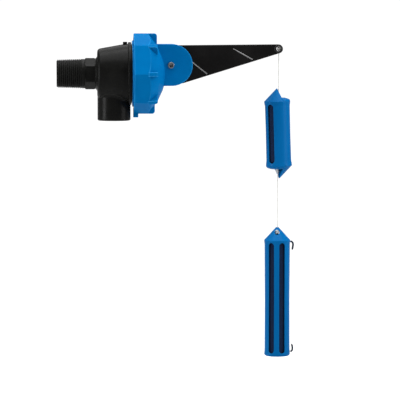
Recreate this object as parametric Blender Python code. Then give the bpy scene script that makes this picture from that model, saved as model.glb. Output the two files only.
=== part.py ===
"""Diaphragm float valve with two floats hanging from its arm on a cord.

Run it in Blender 4.5: blender --background --python part.py
The origin is the centre of the inlet's end face. +X runs along the valve's axis, +Z is up.
Every size below is in millimetres, and the helpers turn them into metres.
"""

import math

import bmesh
import bpy
from mathutils import Matrix, Vector

MM = 0.001
GAP = 0.3
ROUND_STEPS = 32

# Inlet: tapered pipe thread R 1, and the hexagonal collar for a spanner.
THREAD_PITCH = 2.309
THREAD_DEPTH = 1.479
THREAD_LENGTH = 30.0
THREAD_START_RADIUS = 16.3
THREAD_TAPER = 1 / 32
THREAD_RINGS_PER_PITCH = 4
THREAD_STEPS = 20
COLLAR_START = 32.8
COLLAR_END = 45.6
COLLAR_FLAT_RADIUS = 16.0
NECK_RADIUS = 15.4
INLET_BORE_RADIUS = 12.0

# Bell-shaped body, turned about the valve's axis, with the seat nozzle inside.
BODY_START = 47.7
BODY_FLANGE_RADIUS = 36.9
BODY_FLANGE_END = 87.4
SPIGOT_RADIUS = 34.3
SPIGOT_END = 103.0
CHAMBER_START = 52.0
CHAMBER_RADIUS = 29.5
NOZZLE_RADIUS = 13.5
NOZZLE_BORE_RADIUS = 10.5
SEAT_X = 98.5
TOOTH_START = 77.9
TOOTH_END = 82.9
TOOTH_TOP = 37.4
TOOTH_WIDTH = 4.0

# Outlet spigot, straight down.
OUTLET_X = 67.3
OUTLET_RADIUS = 19.4
OUTLET_BORE_RADIUS = 15.8
OUTLET_BOTTOM = -55.0
OUTLET_ROUNDING = 2.2

# Cap: an octagonal skirt with grip lugs, a cone, a dome and two pivot ears in one moulding.
CAP_START = 90.3
CAP_CORNER_RADIUS = 47.2
CAP_RIM_START = 88.6
CAP_RIM_RADIUS = 38.8
CAP_CONE_X = 107.9
CAP_CONE_RADIUS = 46.0
CAP_SHOULDER_X = 119.0
CAP_SHOULDER_RADIUS = 31.8
CAP_NOSE_X = 127.7
CAP_SKIRT_BORE = 34.9
CAP_SEAT_X = 105.0
CAP_CAVITY_RADIUS = 28.0
LUG_COUNT = 8
LUG_WIDTH = 5.0
LUG_START = 107.2
LUG_END = 117.8
LUG_ROUNDING = 3.0
LOWEST_LUG_END = 115.2
TAB_START = 89.8
TAB_END = 95.8
TAB_BOTTOM = -51.4
TAB_WIDTH = 5.0
EAR_X = 134.8
EAR_Z = 10.2
EAR_RADIUS = 24.5
EAR_INNER_Y = 6.5
EAR_OUTER_Y = 11.5

# Pivot pin and the pilot jet that the arm opens and closes.
PIN_X = 133.8
PIN_Z = 10.0
PIN_RADIUS = 3.0
PIN_BORE_RADIUS = 2.1
PIN_BORE_DEPTH = 6.0
PIN_HEAD_RADIUS = 3.9
PIN_HOLE_RADIUS = 3.3
CLIP_RADIUS = 5.2
JET_Z = 22.0
JET_TIP_X = 125.5
ARM_TRAVEL = math.radians(12)

# Float arm: a flat-sided lever with two slanting ridges and a boss at its tip, alike on both sides.
ARM_HALF_WIDTH = 5.4
ARM_RAISED_HALF = 6.0
ARM_RIDGE_HALF = 0.7
ARM_HEEL = (128.2, -11.4)
ARM_BEND = (148.2, -11.4)
ARM_TOP = (136.0, 33.2)
TIP_X = 260.5
TIP_Z = 28.9
TIP_RADIUS = 5.3
TIP_HOLE_X = 260.9
TIP_HOLE_RADIUS = 2.9
TIP_CORD_HOLE_RADIUS = 1.2
TIP_BOSS_RADIUS = 4.8
RIDGE_LINES = (((148.0, 21.9), (176.3, -0.4)), ((206.9, 29.4), (229.9, 16.4)))

# Diaphragm assembly, drawn open: it closes by moving towards the seat.
DIAPHRAGM_RADIUS = 34.4
DIAPHRAGM_HALF = 0.7
DIAPHRAGM_LINE = (
    (34.4, 104.0), (29.0, 104.0), (27.0, 102.8), (24.5, 102.0),
    (22.0, 102.8), (19.8, 105.0), (18.0, 105.8), (2.3, 105.8),
)
PLATE_START = 106.8
PLATE_END = 109.4
PLATE_RADIUS = 17.5
GUIDE_START = 86.0
GUIDE_END = 104.8
GUIDE_DISC_START = 102.6
GUIDE_DISC_RADIUS = 9.6
GUIDE_HUB_RADIUS = 4.0
VANE_RADIUS = 10.1
VANE_THICKNESS = 1.6
SCREW_RADIUS = 2.0
SCREW_HOLE_RADIUS = 2.3
SCREW_HEAD_RADIUS = 3.8
BLEED_Y = 4.6
BLEED_Z = 4.6
BLEED_RADIUS = 0.5
BLEED_HOLE_RADIUS = 0.9
SPRING_RADIUS = 9.5
SPRING_WIRE = 0.55
SPRING_START = 110.4
SPRING_END = 122.2
SPRING_TURNS = 4

# Cord, from the arm's tip through the upper float to the lower float.
CORD_RADIUS = 0.7
CORD_STEP = 3.6
CORD_TOP = (261.2, 22.9)
CORD_BOTTOM = (259.9, -179.2)
CORD_SWING_Z = 23.3
CORD_JOINT_Z = -124.0
CORD_JOINT_GAP = 0.45
STOP_KNOT_Z = -114.8
STOP_KNOT_RADIUS = 2.3
STOP_KNOT_SHIFT = (-0.9, -0.42)
ARM_KNOT_RADIUS = 2.2
KNOT_STUB_RADIUS = 0.6

# Upper float: two alike half-shells put together head to tail round a foam core.
UPPER_CENTRE = (260.55, 0.0, -70.65)
UPPER_TILT = math.radians(-1.6)
UPPER_TURN = math.radians(-65)
UPPER_APEX = 53.2
UPPER_CONE_BASE = 37.85
UPPER_SHOULDER = 41.4
UPPER_RADIUS = 15.3
UPPER_WAIST = 14.9
UPPER_BORE = 2.6
UPPER_CORE_RADIUS = 12.8
UPPER_CORE_HALF = 34.4
UPPER_SLOT = (-34.6, 34.4, 7.0)

# Lower float: a front and a rear half-shell with a whole cone on top.
LOWER_X = 259.8
LOWER_APEX = -179.8
LOWER_CONE_BASE = -196.7
LOWER_BOTTOM = -334.2
LOWER_RADIUS = 15.2
LOWER_TURN = math.radians(-7.0)
LOWER_WAIST = 14.7
LOWER_BORE = 1.2
LOWER_HOLE_Z = -187.2
LOWER_HOLE_RADIUS = 2.9
LOWER_CORE_RADIUS = 12.6
LOWER_CORE_TOP = -199.4
LOWER_CORE_BOTTOM = -330.8
LOWER_SLOT = (-329.9, -199.6, 6.0)
LOWER_KNOT_RADIUS = 2.2
SHELL_WALL = 1.7
SHELL_STEPS = 14
SHELL_CORNER = 3.0
SLOT_ANGLE = math.radians(26)
SLOT_END_STEPS = 5
CLEAT_RADIUS = 0.9
CLEAT_TOP_ROUTE = ((275.4, -198.2), (277.6, -199.2), (278.5, -201.6), (278.2, -205.2), (277.5, -208.4))
CLEAT_BOTTOM_ROUTE = ((275.4, -329.4), (277.2, -328.6), (278.0, -326.4), (277.8, -323.2), (277.0, -320.0))


# ---------------------------------------------------------------- helpers

def clear_scene():
    for old in list(bpy.data.objects):
        bpy.data.objects.remove(old)


def material(name, colour, roughness, metallic=0.0):
    made = bpy.data.materials.new(name)
    made.use_nodes = True
    shader = made.node_tree.nodes["Principled BSDF"]
    shader.inputs["Base Color"].default_value = (*colour, 1.0)
    shader.inputs["Roughness"].default_value = roughness
    shader.inputs["Metallic"].default_value = metallic
    made.diffuse_color = (*colour, 1.0)
    return made


def on_axis(axis, along, a, b):
    """A point at a distance along X, Y or Z, and at (a, b) on the other two axes in order."""
    if axis == "X":
        return Vector((along, a, b))
    if axis == "Y":
        return Vector((a, along, b))
    return Vector((a, b, along))


def add_mesh(name, points, faces, finish=None, smooth_degrees=35):
    """Make one closed mesh object from points in millimetres."""
    mesh = bpy.data.meshes.new(name)
    mesh.from_pydata([tuple(Vector(point) * MM) for point in points], [], faces)
    shape = bmesh.new()
    shape.from_mesh(mesh)
    bmesh.ops.remove_doubles(shape, verts=shape.verts, dist=0.001 * MM)
    bmesh.ops.dissolve_degenerate(shape, dist=0.0001 * MM, edges=shape.edges)
    bmesh.ops.recalc_face_normals(shape, faces=shape.faces)
    shape.to_mesh(mesh)
    shape.free()
    mesh.shade_smooth()
    mesh.set_sharp_from_angle(angle=math.radians(smooth_degrees))
    made = bpy.data.objects.new(name, mesh)
    bpy.context.scene.collection.objects.link(made)
    if finish:
        mesh.materials.append(finish)
    return made


def lathe(name, profile, axis, centre, finish=None, steps=ROUND_STEPS, start=0.0, sweep=2 * math.pi):
    """Turn a closed profile of (along, radius) about an axis; a part turn gets its two end faces."""
    whole = sweep > 2 * math.pi - 0.001
    rings = steps if whole else steps + 1
    count = len(profile)
    points = []
    for ring in range(rings):
        angle = start + sweep * ring / steps
        for along, radius in profile:
            a = centre[0] + radius * math.cos(angle)
            b = centre[1] + radius * math.sin(angle)
            points.append(on_axis(axis, along, a, b))
    faces = []
    for ring in range(steps):
        here = ring * count
        there = (ring + 1) % rings * count
        for i in range(count):
            j = (i + 1) % count
            faces.append((here + i, here + j, there + j, there + i))
    if not whole:
        faces.append(tuple(range(count)))
        faces.append(tuple(range(steps * count, (steps + 1) * count)))
    return add_mesh(name, points, faces, finish)


def prism(name, outline, axis, low, high, finish=None, smooth_degrees=35):
    """Extrude an outline on the other two axes from low to high along an axis."""
    count = len(outline)
    points = [on_axis(axis, low, a, b) for a, b in outline]
    points += [on_axis(axis, high, a, b) for a, b in outline]
    faces = [tuple(range(count)), tuple(range(count, 2 * count))]
    for i in range(count):
        j = (i + 1) % count
        faces.append((i, j, count + j, count + i))
    return add_mesh(name, points, faces, finish, smooth_degrees)


def cylinder(name, axis, centre, low, high, radius, finish=None, steps=24):
    return prism(name, circle(centre, radius, steps), axis, low, high, finish)


def circle(centre, radius, steps):
    return arc(centre, radius, 0.0, 2 * math.pi * (steps - 1) / steps, steps - 1)


def arc(centre, radius, start, end, steps):
    points = []
    for i in range(steps + 1):
        angle = start + (end - start) * i / steps
        points.append((centre[0] + radius * math.cos(angle), centre[1] + radius * math.sin(angle)))
    return points


def box_outline(low_a, high_a, low_b, high_b):
    return [(low_a, low_b), (high_a, low_b), (high_a, high_b), (low_a, high_b)]


def boolean(target, tool, operation):
    """Join, cut or trim the target with a tool object, which stays as a guide."""
    modifier = target.modifiers.new(f"{operation.lower()}_{tool.name}", "BOOLEAN")
    modifier.operation = operation
    modifier.solver = "EXACT"
    modifier.object = tool
    tool.hide_render = True
    tool.display_type = "WIRE"


def tube(name, points, radius, finish, closed=False, resolution=2):
    """A round tube along points in millimetres, as a curve with a bevel and filled caps."""
    curve = bpy.data.curves.new(name, "CURVE")
    curve.dimensions = "3D"
    curve.bevel_depth = radius * MM
    curve.bevel_resolution = resolution
    curve.use_fill_caps = not closed
    spline = curve.splines.new("POLY")
    spline.points.add(len(points) - 1)
    for knot, point in zip(spline.points, points):
        knot.co = (*(Vector(point) * MM), 1.0)
    spline.use_cyclic_u = closed
    made = bpy.data.objects.new(name, curve)
    bpy.context.scene.collection.objects.link(made)
    curve.materials.append(finish)
    return made


def smooth_route(route, count):
    """Points on a Catmull-Rom curve through the route's points."""
    ends = [2 * route[0] - route[1], *route, 2 * route[-1] - route[-2]]
    points = []
    for i in range(count):
        place = (len(route) - 1) * i / (count - 1)
        span = min(int(place), len(route) - 2)
        t = place - span
        a, b, c, d = ends[span:span + 4]
        bend = (2 * a - 5 * b + 4 * c - d) * t * t + (3 * b - 3 * c + d - a) * t ** 3
        points.append(0.5 * (2 * b + (c - a) * t + bend))
    return points


def ball(name, centre, radius, finish, squash=1.0):
    mesh = bpy.data.meshes.new(name)
    shape = bmesh.new()
    bmesh.ops.create_icosphere(shape, subdivisions=2, radius=radius * MM)
    bmesh.ops.scale(shape, vec=(1.0, 1.0, squash), verts=shape.verts)
    bmesh.ops.translate(shape, vec=Vector(centre) * MM, verts=shape.verts)
    shape.to_mesh(mesh)
    shape.free()
    mesh.shade_smooth()
    mesh.materials.append(finish)
    made = bpy.data.objects.new(name, mesh)
    bpy.context.scene.collection.objects.link(made)
    return made


def pivot(name, x, y, z, tilt_y=0.0):
    """An empty that stands on a joint's axis."""
    made = bpy.data.objects.new(name, None)
    made.location = Vector((x, y, z)) * MM
    made.rotation_euler = (0.0, tilt_y, 0.0)
    bpy.context.scene.collection.objects.link(made)
    return made


def hang_on(parent, *children):
    """Parent pieces made in world places, so that they stay where they are."""
    bpy.context.view_layer.update()
    for child in children:
        child.parent = parent
        child.matrix_parent_inverse = parent.matrix_world.inverted()


# ---------------------------------------------------------------- valve body

def thread_rod():
    """A solid rod with the tapered helical thread on its outside."""
    rings = math.ceil(THREAD_LENGTH / THREAD_PITCH * THREAD_RINGS_PER_PITCH)
    root_start = THREAD_START_RADIUS - THREAD_DEPTH
    stations = [THREAD_LENGTH * i / rings for i in range(rings + 1)]
    points = []
    for x in stations:
        for j in range(THREAD_STEPS):
            turn = j / THREAD_STEPS
            wave = abs(2 * ((x / THREAD_PITCH - turn) % 1.0) - 1)
            radius = THREAD_START_RADIUS + THREAD_TAPER * x - THREAD_DEPTH * wave
            radius = min(radius, root_start + x)
            angle = 2 * math.pi * turn
            points.append((x, radius * math.cos(angle), radius * math.sin(angle)))
    end_x = COLLAR_START + 2
    for a, b in circle((0.0, 0.0), NECK_RADIUS, THREAD_STEPS):
        points.append((end_x, a, b))
    faces = []
    for ring in range(rings + 1):
        for j in range(THREAD_STEPS):
            here = ring * THREAD_STEPS + j
            beside = ring * THREAD_STEPS + (j + 1) % THREAD_STEPS
            faces.append((here, beside, beside + THREAD_STEPS, here + THREAD_STEPS))
    last = (rings + 1) * THREAD_STEPS
    faces.append(tuple(range(THREAD_STEPS)))
    faces.append(tuple(range(last, last + THREAD_STEPS)))
    return add_mesh("thread_rod", points, faces)


def spanner_collar():
    corner = COLLAR_FLAT_RADIUS / math.cos(math.pi / 6)
    outline = [
        (corner * math.cos(math.pi * (2 * i + 1) / 6), corner * math.sin(math.pi * (2 * i + 1) / 6))
        for i in range(6)
    ]
    return prism("spanner_collar", outline, "X", COLLAR_START, COLLAR_END)


def valve_body(finish):
    bell = [
        (COLLAR_END - 2, 0), (COLLAR_END - 2, NECK_RADIUS), (COLLAR_END - 0.4, NECK_RADIUS),
        (COLLAR_END - 0.4, 17.4), (46.7, 18.3), (47.4, 19.6), (BODY_START, 21.5), (BODY_START, 25.8),
        (48.4, 27.9), (49.6, 29.0), (51.2, 29.6), (77.9, 34.3), (83.4, 34.6),
        (84.2, BODY_FLANGE_RADIUS), (BODY_FLANGE_END, BODY_FLANGE_RADIUS), (BODY_FLANGE_END, SPIGOT_RADIUS),
        (SPIGOT_END, SPIGOT_RADIUS), (SPIGOT_END, 0),
    ]
    body = lathe("valve_body", bell, "X", (0, 0), finish)
    spout = [
        (-20.0, 0), (OUTLET_BOTTOM, 0), (OUTLET_BOTTOM, OUTLET_RADIUS - OUTLET_ROUNDING),
        (OUTLET_BOTTOM + 0.3 * OUTLET_ROUNDING, OUTLET_RADIUS - 0.3 * OUTLET_ROUNDING),
        (OUTLET_BOTTOM + OUTLET_ROUNDING, OUTLET_RADIUS), (-20.0, OUTLET_RADIUS),
    ]
    boolean(body, lathe("outlet_spigot", spout, "Z", (OUTLET_X, 0)), "UNION")
    boolean(body, spanner_collar(), "UNION")
    boolean(body, thread_rod(), "UNION")
    tooth = box_outline(TOOTH_START, TOOTH_END, BODY_FLANGE_RADIUS - 5, TOOTH_TOP)
    boolean(body, prism("index_tooth", tooth, "Y", -TOOTH_WIDTH / 2, TOOTH_WIDTH / 2), "UNION")
    chamber = [
        (CHAMBER_START, NOZZLE_RADIUS), (CHAMBER_START, 25.5), (55.5, 28.0), (90.0, CHAMBER_RADIUS),
        (SPIGOT_END + 5, CHAMBER_RADIUS), (SPIGOT_END + 5, 4.0), (SEAT_X, 4.0), (SEAT_X, NOZZLE_RADIUS - 1),
        (SEAT_X - 1, NOZZLE_RADIUS),
    ]
    boolean(body, lathe("chamber_cutter", chamber, "X", (0, 0)), "DIFFERENCE")
    bore = [
        (-5.0, 0), (-5.0, INLET_BORE_RADIUS), (46.0, INLET_BORE_RADIUS), (56.0, NOZZLE_BORE_RADIUS),
        (SEAT_X + 5, NOZZLE_BORE_RADIUS), (SEAT_X + 5, 0),
    ]
    boolean(body, lathe("bore_cutter", bore, "X", (0, 0)), "DIFFERENCE")
    outlet_cutter = cylinder(
        "outlet_cutter", "Z", (OUTLET_X, 0), OUTLET_BOTTOM - 5, -20.5, OUTLET_BORE_RADIUS, steps=ROUND_STEPS
    )
    boolean(body, outlet_cutter, "DIFFERENCE")


# ---------------------------------------------------------------- cap and its small pieces

def grip_lug(number):
    end_x = LOWEST_LUG_END if number == LUG_COUNT // 2 else LUG_END
    outline = [(LUG_START, 34.0), (end_x, 34.0)]
    corner = (end_x - LUG_ROUNDING, CAP_CORNER_RADIUS - LUG_ROUNDING)
    outline += arc(corner, LUG_ROUNDING, 0.0, math.pi / 2, 3)
    outline.append((LUG_START, CAP_CORNER_RADIUS))
    lug = prism(f"grip_lug_{number}", outline, "Y", -LUG_WIDTH / 2, LUG_WIDTH / 2)
    lug.rotation_euler = (2 * math.pi * number / LUG_COUNT, 0.0, 0.0)
    return lug


def ear(name, low, high):
    outline = [(CAP_CONE_X + 3, EAR_Z - EAR_RADIUS)]
    outline += arc((EAR_X, EAR_Z), EAR_RADIUS, -math.pi / 2, math.pi / 2, 20)
    outline.append((CAP_CONE_X + 3, EAR_Z + EAR_RADIUS))
    return prism(name, outline, "Y", low, high)


def cap(finish):
    corners = circle((0.0, 0.0), CAP_CORNER_RADIUS, 8)
    body = prism("cap", corners, "X", CAP_START, CAP_NOSE_X + 5, finish)
    slope = (CAP_CONE_RADIUS - CAP_SHOULDER_RADIUS) / (CAP_SHOULDER_X - CAP_CONE_X)
    outside = CAP_CORNER_RADIUS + 5
    envelope = [
        (CAP_START - 3, 0), (CAP_START - 3, outside),
        (CAP_CONE_X - (outside - CAP_CONE_RADIUS) / slope, outside), (CAP_SHOULDER_X, CAP_SHOULDER_RADIUS),
        (121.7, 25.3), (125.2, 16.6), (126.8, 12.6), (CAP_NOSE_X, 10.0), (CAP_NOSE_X, 0),
    ]
    boolean(body, lathe("cap_envelope", envelope, "X", (0, 0), steps=40), "INTERSECT")
    rim = cylinder("cap_rim", "X", (0, 0), CAP_RIM_START, CAP_START + 3, CAP_RIM_RADIUS, steps=40)
    boolean(body, rim, "UNION")
    for number in range(LUG_COUNT):
        boolean(body, grip_lug(number), "UNION")
    tab = box_outline(TAB_START, TAB_END, TAB_BOTTOM, -CAP_CORNER_RADIUS + 6)
    boolean(body, prism("index_tab", tab, "Y", -TAB_WIDTH / 2, TAB_WIDTH / 2), "UNION")
    boolean(body, ear("ear_front", -EAR_OUTER_Y, -EAR_INNER_Y), "UNION")
    boolean(body, ear("ear_rear", EAR_INNER_Y, EAR_OUTER_Y), "UNION")
    boolean(body, cylinder("jet_boss", "X", (0, JET_Z), 117.0, JET_TIP_X - 1.5, 3.6), "UNION")
    cavity = [
        (CAP_RIM_START - 5, 0), (CAP_RIM_START - 5, CAP_SKIRT_BORE), (CAP_SEAT_X, CAP_SKIRT_BORE),
        (CAP_SEAT_X, CAP_CAVITY_RADIUS), (113.5, CAP_CAVITY_RADIUS), (118.0, 23.5), (121.4, 15.0),
        (123.2, 11.0), (123.2, 0),
    ]
    boolean(body, lathe("cavity_cutter", cavity, "X", (0, 0)), "DIFFERENCE")
    pin_hole = cylinder("pin_hole", "Y", (PIN_X, PIN_Z), -EAR_OUTER_Y - 5, EAR_OUTER_Y + 5, PIN_HOLE_RADIUS)
    boolean(body, pin_hole, "DIFFERENCE")
    boolean(body, cylinder("jet_hole", "X", (0, JET_Z), 112.0, JET_TIP_X + 5, 2.1, steps=16), "DIFFERENCE")
    bleed_seat = cylinder("bleed_seat", "X", (BLEED_Y, BLEED_Z), 121.0, 125.4, BLEED_HOLE_RADIUS, steps=12)
    boolean(body, bleed_seat, "DIFFERENCE")


def pilot_jet(finish):
    profile = [
        (117.6, 0.7), (117.6, 1.75), (JET_TIP_X - 1.2, 1.75), (JET_TIP_X - 1.2, 2.9), (JET_TIP_X - 0.5, 2.9),
        (JET_TIP_X, 1.3), (JET_TIP_X, 0.7),
    ]
    lathe("pilot_jet", profile, "X", (0, JET_Z), finish, steps=16)


def pivot_pin(finish):
    """A semi-tubular pin: both of its ends are bored."""
    head = -EAR_OUTER_Y - GAP
    end = EAR_OUTER_Y + 2.0
    profile = [
        (head - 1.1 + PIN_BORE_DEPTH, 0), (head - 1.1 + PIN_BORE_DEPTH, PIN_BORE_RADIUS),
        (head - 1.1, PIN_BORE_RADIUS), (head - 1.1, PIN_HEAD_RADIUS - 0.5), (head - 0.6, PIN_HEAD_RADIUS),
        (head, PIN_HEAD_RADIUS), (head, PIN_RADIUS), (end, PIN_RADIUS), (end, PIN_BORE_RADIUS),
        (end - PIN_BORE_DEPTH, PIN_BORE_RADIUS), (end - PIN_BORE_DEPTH, 0),
    ]
    lathe("pivot_pin", profile, "Y", (PIN_X, PIN_Z), finish, steps=24)


def pin_clip(finish):
    start = EAR_OUTER_Y + GAP
    end = start + 0.8
    profile = [(start, PIN_HOLE_RADIUS), (start, CLIP_RADIUS), (end, CLIP_RADIUS), (end, PIN_HOLE_RADIUS)]
    lathe("pin_clip", profile, "Y", (PIN_X, PIN_Z), finish, steps=24)


# ---------------------------------------------------------------- diaphragm assembly

def bleed_cutter(name):
    return cylinder(name, "X", (BLEED_Y, BLEED_Z), 80.0, 120.0, BLEED_HOLE_RADIUS, steps=12)


def diaphragm(finish):
    near = [(x - DIAPHRAGM_HALF, radius) for radius, x in DIAPHRAGM_LINE]
    far = [(x + DIAPHRAGM_HALF, radius) for radius, x in reversed(DIAPHRAGM_LINE)]
    rubber = lathe("diaphragm", near + far, "X", (0, 0), finish)
    boolean(rubber, bleed_cutter("diaphragm_bleed"), "DIFFERENCE")


def diaphragm_plate(finish):
    profile = [
        (PLATE_START, SCREW_HOLE_RADIUS), (PLATE_START, PLATE_RADIUS), (PLATE_END - 0.8, PLATE_RADIUS),
        (PLATE_END, PLATE_RADIUS - 0.8), (PLATE_END, SCREW_HOLE_RADIUS),
    ]
    plate = lathe("diaphragm_plate", profile, "X", (0, 0), finish)
    boolean(plate, bleed_cutter("plate_bleed"), "DIFFERENCE")


def diaphragm_guide(finish):
    """A hub and a disc with four vanes that slide in the nozzle's bore."""
    profile = [
        (GUIDE_START, 0), (GUIDE_START, GUIDE_HUB_RADIUS), (GUIDE_DISC_START, GUIDE_HUB_RADIUS),
        (GUIDE_DISC_START, GUIDE_DISC_RADIUS), (GUIDE_END, GUIDE_DISC_RADIUS), (GUIDE_END, 0),
    ]
    guide = lathe("diaphragm_guide", profile, "X", (0, 0), finish, steps=24)
    half = VANE_THICKNESS / 2
    for name, outline in (
        ("vane_pair_level", box_outline(-VANE_RADIUS, VANE_RADIUS, -half, half)),
        ("vane_pair_upright", box_outline(-half, half, -VANE_RADIUS, VANE_RADIUS)),
    ):
        boolean(guide, prism(name, outline, "X", GUIDE_START + 1, GUIDE_DISC_START + 1), "UNION")
    through = cylinder(
        "guide_hole", "X", (0, 0), GUIDE_START - 5, GUIDE_END + 5, SCREW_HOLE_RADIUS, steps=20
    )
    boolean(guide, through, "DIFFERENCE")
    boolean(guide, bleed_cutter("guide_bleed"), "DIFFERENCE")


def diaphragm_screw(finish):
    head = PLATE_END + GAP
    profile = [
        (GUIDE_START - 1.5, 0), (GUIDE_START - 1.5, SCREW_RADIUS - 0.4), (GUIDE_START - 1.0, SCREW_RADIUS),
        (head, SCREW_RADIUS), (head, SCREW_HEAD_RADIUS), (head + 1.6, SCREW_HEAD_RADIUS), (head + 2.4, 2.4),
        (head + 2.4, 0),
    ]
    lathe("diaphragm_screw", profile, "X", (0, 0), finish, steps=16)


def return_spring(finish):
    count = SPRING_TURNS * 12
    points = []
    for i in range(count + 1):
        angle = 2 * math.pi * SPRING_TURNS * i / count
        x = SPRING_START + (SPRING_END - SPRING_START) * i / count
        points.append((x, SPRING_RADIUS * math.cos(angle), SPRING_RADIUS * math.sin(angle)))
    tube("return_spring", points, SPRING_WIRE, finish, resolution=1)


def bleed_pin(finish):
    cylinder("bleed_pin", "X", (BLEED_Y, BLEED_Z), 94.0, 125.0, BLEED_RADIUS, finish, steps=10)


# ---------------------------------------------------------------- float arm

def arm_outline():
    """The bottom edge is tangent to the tip's round end."""
    centre = Vector((TIP_X, TIP_Z))
    away = centre - Vector(ARM_BEND)
    lean = math.atan2(away.y, away.x) - math.asin(TIP_RADIUS / away.length)
    tip = arc((TIP_X, TIP_Z), TIP_RADIUS, lean - math.pi / 2, math.pi / 2, 10)
    seat = [(133.4, 31.6), (131.3, 28.0), (129.3, 18.6), (128.5, 14.5)]
    return [ARM_HEEL, ARM_BEND, *tip, ARM_TOP, *seat]


def ridge_outline(start, end):
    first, last = Vector(start), Vector(end)
    run = (last - first).normalized()
    side = Vector((-run.y, run.x)) * ARM_RIDGE_HALF
    return [tuple(first - side), tuple(last - side), tuple(last + side), tuple(first + side)]


def float_arm(finish):
    arm = prism("float_arm", arm_outline(), "Y", -ARM_HALF_WIDTH, ARM_HALF_WIDTH, finish)
    for number, (start, end) in enumerate(RIDGE_LINES):
        ridge = prism(f"ridge_{number}", ridge_outline(start, end), "Y", -ARM_RAISED_HALF, ARM_RAISED_HALF)
        boolean(arm, ridge, "UNION")
    boss = cylinder("tip_boss", "Y", (TIP_X, TIP_Z), -ARM_RAISED_HALF, ARM_RAISED_HALF, TIP_BOSS_RADIUS)
    boolean(arm, boss, "UNION")
    boolean(arm, cylinder("arm_pin_hole", "Y", (PIN_X, PIN_Z), -9.0, 9.0, PIN_HOLE_RADIUS), "DIFFERENCE")
    tip_hole = cylinder("tip_hole", "Y", (TIP_HOLE_X, TIP_Z), -9.0, 9.0, TIP_HOLE_RADIUS, steps=20)
    boolean(arm, tip_hole, "DIFFERENCE")
    exit_hole = cylinder(
        "cord_exit", "Z", (cord_x(TIP_Z), 0.0), TIP_Z - 9.0, TIP_Z, TIP_CORD_HOLE_RADIUS, steps=12
    )
    boolean(arm, exit_hole, "DIFFERENCE")
    return arm


def pilot_seal(finish):
    """A pad in the arm that comes square to the jet when the arm has risen through its travel."""
    pad = cylinder("pilot_seal", "X", (0, 0), 0.0, 1.5, 3.4, finish, steps=20)
    closed = Vector((JET_TIP_X + GAP - PIN_X, JET_Z - PIN_Z))
    turned = Matrix.Rotation(-ARM_TRAVEL, 2) @ closed
    pad.location = Vector((PIN_X + turned.x, 0.0, PIN_Z + turned.y)) * MM
    pad.rotation_euler = (0.0, ARM_TRAVEL, 0.0)
    return pad


# ---------------------------------------------------------------- cord

def cord_x(z):
    (top_x, top_z), (bottom_x, bottom_z) = CORD_TOP, CORD_BOTTOM
    return bottom_x + (top_x - bottom_x) * (z - bottom_z) / (top_z - bottom_z)


def cord_run(name, top, bottom, finish):
    route = [Vector((cord_x(z), 0.0, z)) for z in (top, (top + bottom) / 2, bottom)]
    count = math.ceil((top - bottom) / CORD_STEP) + 1
    return tube(name, smooth_route(route, count), CORD_RADIUS, finish)


def knot(name, x, z, radius, stub_end, finish):
    """A knot with the short stub of cord that leads to it, as one turned solid."""
    side = 1 if stub_end > z else -1
    neck = math.asin(KNOT_STUB_RADIUS / radius)
    profile = [(stub_end, 0.0), (stub_end, KNOT_STUB_RADIUS)]
    for i in range(8):
        angle = neck + (math.pi - neck) * i / 7
        profile.append((z + side * radius * math.cos(angle), radius * math.sin(angle)))
    return lathe(name, profile, "Z", (x, 0.0), finish, steps=14)


def cords(finish):
    """Both stretches of cord; the stop knot bulges away from the half-cone that slides past it."""
    shift_x, shift_y = STOP_KNOT_SHIFT
    below_knot = STOP_KNOT_Z - STOP_KNOT_RADIUS - GAP
    pieces_above = [
        cord_run("upper_cord_top", CORD_TOP[1], STOP_KNOT_Z + STOP_KNOT_RADIUS + GAP, finish),
        ball("stop_knot", (cord_x(STOP_KNOT_Z) + shift_x, shift_y, STOP_KNOT_Z), STOP_KNOT_RADIUS, finish),
        cord_run("upper_cord_end", below_knot, CORD_JOINT_Z + CORD_JOINT_GAP, finish),
    ]
    below = cord_run("lower_cord", CORD_JOINT_Z - CORD_JOINT_GAP, CORD_BOTTOM[1], finish)
    hang_on(pivot("cord_swing_axis", CORD_TOP[0], 0.0, CORD_SWING_Z), *pieces_above)
    hang_on(pivot("lower_cord_axis", cord_x(CORD_JOINT_Z), 0.0, CORD_JOINT_Z), below)


# ---------------------------------------------------------------- floats

def shoulder(height, radius, inner_radius, up):
    """The outer line of a flat end with a rounded edge, from the middle outwards."""
    corner = (height - up * SHELL_CORNER, radius - SHELL_CORNER)
    edge = arc(corner, SHELL_CORNER, 0.0, math.pi / 2, 3)
    rounded = [(corner[0] + up * (along - corner[0]), out) for along, out in edge]
    return [(height, inner_radius), *rounded]


def half_shell(name, top, bottom, waist, finish, turn):
    """A half-turned shell between two ends, each end being (outer line, inner line) of (z, radius)."""
    outer = top[0] + [waist] + list(reversed(bottom[0]))
    inner = bottom[1] + [(waist[0], waist[1] - SHELL_WALL)] + list(reversed(top[1]))
    start = turn - math.pi
    return lathe(name, outer + inner, "Z", (0, 0), finish, steps=SHELL_STEPS, start=start, sweep=math.pi)


def slot_cutters(name, low, high, width, turn):
    """The two rounded slots of one half-shell, each a cutter that points out from the float's axis."""
    radius = width / 2
    outline = arc((0.0, high - radius), radius, 0.0, math.pi, SLOT_END_STEPS)
    outline += arc((0.0, low + radius), radius, math.pi, 2 * math.pi, SLOT_END_STEPS)
    cutters = []
    for side in (-1, 1):
        cutter = prism(f"{name}_{side + 2}", outline, "Y", -20.0, -8.0)
        cutter.rotation_euler = (0.0, 0.0, turn + side * SLOT_ANGLE)
        cutters.append(cutter)
    return cutters


def cone_lines(apex, base, radius, up):
    """Outer and inner lines of a cone whose apex is on the axis."""
    outer = [(apex, 0.0), (base, radius)]
    inner = [(apex - up * 1.45 * SHELL_WALL, 0.0), (base - up * 0.4 * SHELL_WALL, radius - SHELL_WALL)]
    return outer, inner


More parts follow.
